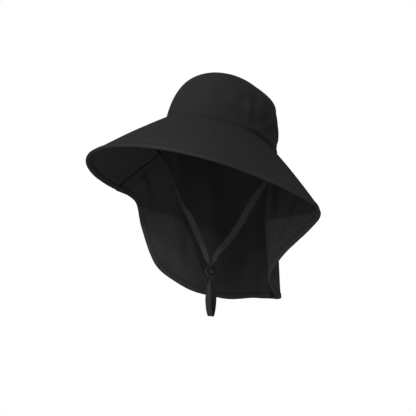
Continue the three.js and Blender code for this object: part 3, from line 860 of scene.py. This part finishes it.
def in_both(u, depth):
    """The brim depth mm in from its edge, and past its ends the cape the same way in."""
    past = max(-u, u - 1) / RUN_ON
    if past <= 0:
        return brim_middle(u, 1 - depth / BRIM_WIDTH)
    return in_cape(CAPE_RUN * past if u < 0 else 1 - CAPE_RUN * past, depth)


def in_brim(u, depth):
    """The brim's hem runs on round both corners, softly, to the cape's hem."""
    u = lerp(-RUN_ON, 1 + RUN_ON, u)
    places = [in_both(u + RUN_ON * part, depth) for part in (-0.5, -0.25, 0, 0.25, 0.5)]
    return sum(places, Vector()) / len(places)


brim_hem = hem("brim_hem", 320, in_brim, BRIM_CLOTH)
cape_hem = hem("cape_hem", 460, in_cape, CAPE_CLOTH)

# %% [markdown]
# ## Thread
#
# The brim's rows, both hems, the band's upper edge and the cape's upper edge are stitched. One
# stitch is a stretched ball of 20 faces, because thousands of them have to stay light. They're
# set at even distances along each row, on both faces of the cloth, half sunk in the channel that
# they pull. The hems and the cape's upper edge are sewn with a darker thread, whose darkness is
# partly painted shade of their stitched grooves. Under each seam between the brim's ends and the
# cape lies a dark rounded strip: painted shade of the crease there, which shows as a dark line.

# %% Stitches
STITCH_PITCH, STITCH_LONG, STITCH_THICK, STITCH_STEP = 3.0, 2.2, 0.5, 0.002
STITCHED = 0.84 * BINDING_DEPTH  # how far in from its edge a hem is stitched
CROWN_ROW = band_share - 2.4 / CROWN_HEIGHT


def paces(row, pitch):
    """Shares of a row, row(share) in mm, that lie pitch apart along it."""
    marks = evenly(240)
    far = walked([row(mark) for mark in marks])
    count = int(far[-1] / pitch)
    shares, k = [], 0
    for n in range(count):
        goal = (n + 0.5) * far[-1] / count
        while far[k + 1] < goal:
            k += 1
        part = (goal - far[k]) / (far[k + 1] - far[k])
        shares.append(lerp(marks[k], marks[k + 1], part))
    return shares


def sew(name, rows):
    """Sews each row (on, beside, height): on(share) lies on the row, beside(share) next to it."""
    ball = bmesh.new()
    bmesh.ops.create_icosphere(ball, subdivisions=1, radius=0.5)
    seed = bpy.data.meshes.new("stitch")
    ball.to_mesh(seed)
    ball.free()
    bm, thick = bmesh.new(), STITCH_THICK * MM
    for on, beside, height in rows:
        for share in paces(on, STITCH_PITCH):
            p = on(share)
            along = on(min(share + STITCH_STEP, 1)) - on(max(share - STITCH_STEP, 0))
            along.normalize()
            out = along.cross(beside(share) - p).normalized()
            axes = (along * STITCH_LONG * MM, out.cross(along) * thick, out * thick)
            for face in (height, -height):
                stitch = seed.copy()
                stitch.transform(placing(axes, (p + out * face) * MM))
                bm.from_mesh(stitch)
                bpy.data.meshes.remove(stitch)
    bpy.data.meshes.remove(seed)
    return finished(bm, name)


def row_of(point, share):
    """A row at one share across a sheet, for sew."""
    return (lambda u: point(u, share)), (lambda u: point(u, share + 0.02))


brim_rows = [
    (*row_of(brim_middle, share), BRIM_CLOTH / 2 - CHANNEL_DEEP + 0.12) for share in row_shares
]
brim_stitches = sew("brim_stitches", brim_rows)
on_hem = GAP + BINDING_CLOTH - 0.3
hem_row = (*row_of(in_brim, STITCHED), BRIM_CLOTH / 2 + on_hem)
hem_stitches = sew("hem_stitches", [hem_row])

crown_row = row_of(lambda u, h: crown_point(crown_angle(u), h), CROWN_ROW)
crown_stitches = sew("crown_stitches", [(*crown_row, 0.68)])

cape_rows = [
    (*row_of(in_cape, STITCHED), CAPE_CLOTH / 2 + on_hem),
    (*row_of(lambda a, d: cape_point(lerp(0.03, 0.97, a), d), 0.022), CAPE_CLOTH / 2 + 0.05),
]
cape_stitches = sew("cape_stitches", cape_rows)

# %% Painted shade strips at the brim's ends
def seam_shade_strip(name, side):
    """A dark rounded strip under the seam between one end of the brim and the cape: painted shade
    of the crease there.
    """
    places = evenly(60, 0.01, 0.93)
    oval = [(1.3 * cos(turn), 0.75 * sin(turn)) for turn in range(0, 360, 30)]

    def section(k):
        p = brim_point(side * BRIM_END, places[k])
        along = (brim_point(side * (BRIM_END + 1), places[k]) - p).normalized() * side
        up = (brim_point(side * BRIM_END, places[k] + 0.02) - p).cross(along).normalized()
        up = up if up.z > 0 else -up
        base = p - up * (BRIM_CLOTH / 2 + 0.1)
        return [base + along * x + up * y for x, y in oval]

    return tube(name, section, oval, [share * BRIM_WIDTH for share in places])


# Dark strips of painted shade for the crease under each end of the brim.
shade_strip_right = seam_shade_strip("seam_shade_strip_right", -1)
shade_strip_left = seam_shade_strip("seam_shade_strip_left", 1)

# %% [markdown]
# ## Materials
#
# Cloth takes its life from the weave: threads that pass over and under, each a little thicker
# or paler than the next. One small class wraps a shader socket so that sums read as sums.

# %% Shader maths
class Value:
    """A shader socket that Python's operators work on; each adds a Math node."""

    def __init__(self, finish, socket):
        self.finish, self.socket = finish, socket

    def math(self, operation, *others):
        node = self.finish.node("ShaderNodeMath", {"operation": operation})
        for slot, value in enumerate((self, *others)):
            self.finish.join(value, node.inputs[slot])
        return Value(self.finish, node.outputs[0])

    def __add__(self, other):
        return self.math("ADD", other)

    def __sub__(self, other):
        return self.math("SUBTRACT", other)

    def __rsub__(self, other):
        return self.math("MULTIPLY", -1).math("ADD", other)

    def __mul__(self, other):
        return self.math("MULTIPLY", other)

    __radd__, __rmul__ = __add__, __mul__

    def sine(self):
        return self.math("SINE")


class Finish:
    """A material under construction."""

    def __init__(self, name, roughness, **constants):
        self.material = bpy.data.materials.new(name)
        self.material.use_nodes = True
        self.nodes = self.material.node_tree.nodes
        self.shader = self.nodes["Principled BSDF"]
        self.shader.inputs["Roughness"].default_value = roughness
        for socket, value in constants.items():
            self.shader.inputs[socket.replace("_", " ")].default_value = value

    def join(self, value, socket):
        if isinstance(value, Value):
            value = value.socket
        if isinstance(value, bpy.types.NodeSocket):
            self.material.node_tree.links.new(value, socket)
        else:
            socket.default_value = value

    def node(self, kind, settings=None, **sockets):
        made = self.nodes.new(kind)
        for setting, value in (settings or {}).items():
            if setting == "stops":
                for stop, (place, colour) in zip(made.color_ramp.elements, value):
                    stop.position, stop.color = place, (*colour, 1)
            else:
                setattr(made, setting, value)
        for socket, value in sockets.items():
            self.join(value, made.inputs[socket.replace("_", " ")])
        return made

    def cloud(self, way, scale, detail, roughness=0.5):
        """Noise from 0 to 1 along the vector way; scale counts its lumps in one unit."""
        made = self.node(
            "ShaderNodeTexNoise", Vector=way, Scale=scale, Detail=detail, Roughness=roughness,
        )
        return Value(self, made.outputs["Fac"])

    def shade(self, colour, dark, light, amount):
        """The colour, darkened and lightened by a value from 0 to 1."""
        a = [c * dark for c in colour]
        b = [c * light for c in colour]
        ramp = self.node("ShaderNodeValToRGB", {"stops": [(0, a), (1, b)]}, Fac=amount)
        self.join(ramp.outputs["Color"], self.shader.inputs["Base Color"])

    def relief(self, height, distance, strength):
        bump = self.node("ShaderNodeBump", Strength=strength, Distance=distance, Height=height)
        self.join(bump.outputs["Normal"], self.shader.inputs["Normal"])


# %% [markdown]
# ### Woven cloth
#
# The map is in metres, so a sine of it has a period in real threads. The product of the two
# sines lifts every other crossing, as a plain weave does. Noise drawn out along each thread
# makes slubs, and a cloudy noise fades the dye a little and crumples the cloth.

# %% Cloth finishes
CHARCOAL = (0.0250, 0.0250, 0.0261)


def woven(name, tint, thread, roughness=0.9, rumpled=1.05):
    """Plain weave in charcoal times tint; thread is the width of one thread in mm."""
    finish = Finish(name, roughness, Specular_IOR_Level=0.03)
    chart = finish.node("ShaderNodeUVMap")
    split = finish.node("ShaderNodeSeparateXYZ", Vector=chart.outputs["UV"])
    u, v = (Value(finish, split.outputs[axis]) for axis in "XY")
    turns = math.pi / (thread * MM)
    weave = (u * turns).sine() * (v * turns).sine()
    across = finish.node("ShaderNodeCombineXYZ", X=u * 900, Y=v * 60)
    down = finish.node("ShaderNodeCombineXYZ", X=u * 60, Y=v * 900)
    slubs = [finish.cloud(way.outputs[0], 1, 2) for way in (across, down)]
    place = finish.node("ShaderNodeTexCoord").outputs["Object"]
    dye, fuzz = finish.cloud(place, 38, 4, 0.6), finish.cloud(place, 700, 2)
    threads = slubs[0] * 0.5 + slubs[1] * 0.5
    tone = weave * 0.12 + threads * 0.5 + dye * 0.45 + fuzz * 0.2 - 0.1
    finish.shade([part * tint for part in CHARCOAL], 0.72, 1.3, tone)
    finish.join(dye * 0.12 + (roughness - 0.06), finish.shader.inputs["Roughness"])
    finish.relief(weave * 0.5 + threads * 0.6 + dye * rumpled, 0.00025, 0.55)
    return finish.material


crown_finish = woven("crown_weave", 1, 0.42)
brim_finish = woven("brim_weave", 1.05, 0.42)
cape_finish = woven("cape_weave", 1, 0.34)
hem_finish = woven("hem_weave", 1.04, 0.36)
thread_finish = woven("thread", 0.86, 0.2)
# Thread at half the cloth's brightness: partly the thread's own darker colour, partly painted shade
# of the stitched grooves along the hems.
groove_shade_thread = woven("groove_shade_thread", 0.5, 0.2)
# Near-black cloth for the seam strips: painted shade of the crease at the brim's ends.
seam_shade_finish = woven("seam_painted_shade", 0.3, 0.3)
tape_finish = woven("tape_weave", 1.22, 0.5, roughness=0.85, rumpled=3)

# %% [markdown]
# ### Moulded plastic
#
# The stopper is dull black plastic: a fine grain from the mould, in patches a little rubbed.

# %% Plastic finishes
def moulded(name, colour, roughness):
    finish = Finish(name, roughness, Specular_IOR_Level=0.18)
    place = finish.node("ShaderNodeTexCoord").outputs["Object"]
    grain, wear = finish.cloud(place, 2600, 3), finish.cloud(place, 260, 4)
    finish.shade(colour, 0.8, 1.25, wear)
    finish.join(wear * 0.2 + (roughness - 0.1), finish.shader.inputs["Roughness"])
    finish.relief(grain + wear * 0.4, 0.00006, 0.4)
    return finish.material


shell_finish = moulded("stopper_plastic", (0.0125, 0.0125, 0.0133), 0.6)
button_finish = moulded("button_plastic", (0.0085, 0.0085, 0.0091), 0.55)

# %% [markdown]
# ## Which piece stands for which solid
#
# Every piece gets its finish, rides on its body and hides the plain solid that it
# replaces.

# %% Pieces and bodies
PIECES = [  # piece, finish, body, slot, replaced node
    (crown_dome, crown_finish, "hat", "crown_cloth", "crown_dome"),
    (crown_band, crown_finish, "hat", "crown_cloth", "crown_band"),
    (brim_cloth, brim_finish, "hat", "brim_cloth", "brim"),
    (brim_hem, hem_finish, "hat", "binding", "brim_binding"),
    (cape_cloth, cape_finish, "hat", "cape_cloth", "neck_cape"),
    (cape_hem, hem_finish, "hat", "binding", "cape_binding"),
    (chin_tape, tape_finish, "hat", "strap_tape", "chin_strap"),
    (stopper_shell, shell_finish, "hat", "stopper_plastic", "stopper_body"),
    (stopper_plunger, button_finish, "button", "button_plastic", "stopper_button"),
    (brim_stitches, thread_finish, "hat", "binding", None),
    (crown_stitches, thread_finish, "hat", "binding", None),
    # The hem and cape stitches carry painted shade of their grooves in their darker thread.
    (hem_stitches, groove_shade_thread, "hat", "binding", None),
    (cape_stitches, groove_shade_thread, "hat", "binding", None),
    # The seam strips are painted shade of the crease at the brim's ends.
    (shade_strip_right, seam_shade_finish, "hat", "binding", None),
    (shade_strip_left, seam_shade_finish, "hat", "binding", None),
]
for piece, finish, body, slot, node in PIECES:
    piece.data.materials.clear()
    piece.data.materials.append(finish)
    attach(piece, body)
    if node:
        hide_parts(node)

tape_middle[0] * MM
[p * MM for p in tape_middle]

# %% [markdown]
# ## Floor and light
#
# The hat is held up, so the small pale floor lies well below it. A white world gives soft light
# from everywhere, as in a white studio. One lamp high in front draws the brim's shadow on the
# cape, and a weak wide one stands level with the camera. The cape's two flaps get a narrow beam
# each, which passes under the brim and leaves the inside of the cape dark. A gamma below one
# deepens the dark greys and leaves the white as it is.

# %% The floor
FLOOR_DROP, FLOOR_RADIUS, FLOOR_WHITE = 1.25, 3.4, 0.9
bm = bmesh.new()
bmesh.ops.create_circle(bm, cap_ends=True, segments=96, radius=FLOOR_RADIUS)
bmesh.ops.translate(bm, vec=(0, 0, -FLOOR_DROP), verts=bm.verts[:])
floor_mesh = bpy.data.meshes.new("floor")
bm.to_mesh(floor_mesh)
bm.free()
floor = bpy.data.objects.new("floor", floor_mesh)
bpy.context.scene.collection.objects.link(floor)
floor_finish = Finish("pale_floor", 0.9)
floor_finish.shader.inputs["Base Color"].default_value = (*[FLOOR_WHITE] * 3, 1)
floor.data.materials.append(floor_finish.material)
print("floor", FLOOR_DROP, "m below the head opening")

# %% Light
world = bpy.data.worlds.new("studio")
world.use_nodes = True
background = world.node_tree.nodes["Background"]
background.inputs["Color"].default_value = (1, 1, 1, 1)
background.inputs["Strength"].default_value = 1.0
bpy.context.scene.world = world

MIDDLE = (0, 0, -80)  # what the wide lamps look at, in mm
BEAM_EDGE, BEAM_SOURCE = 0.22, 0.05


def stand(light, aim, turn, height, away):
    """Stands a light away metres from aim; turn is from the front to the wearer's left."""
    stood = bpy.data.objects.new(light.name, light)
    way = Vector((sin(turn) * cos(height), -cos(turn) * cos(height), sin(height)))
    stood.location = Vector(aim) * MM + way * away
    stood.rotation_euler = (-way).to_track_quat("-Z", "Y").to_euler()
    bpy.context.scene.collection.objects.link(stood)


def lamp(name, turn, height, away, size, watts):
    """A square lamp that looks at the middle of the hat."""
    light = bpy.data.lights.new(name, "AREA")
    light.size, light.energy = size, watts
    stand(light, MIDDLE, turn, height, away)


def beam(name, turn, height, away, aim, cone, watts):
    """A spot with a narrow cone that passes under the brim to the point aim, in mm."""
    light = bpy.data.lights.new(name, "SPOT")
    light.spot_size, light.spot_blend = math.radians(cone), BEAM_EDGE
    light.shadow_soft_size, light.energy = BEAM_SOURCE, watts
    stand(light, aim, turn, height, away)


lamp("key", -11, 34, 2.4, 0.2, 57)
lamp("soft", 30, -4, 2.6, 1.0, 13)
beam("right_side", 30, 18, 2.4, (-107, 12, -164), 3.3, 212)
beam("left_side", 24, 21, 2.4, (116, 5, -174), 3.3, 225)
bpy.context.scene.view_settings.view_transform = "Standard"
bpy.context.scene.view_settings.gamma = 0.8
print(len(bpy.data.lights), "lamps")
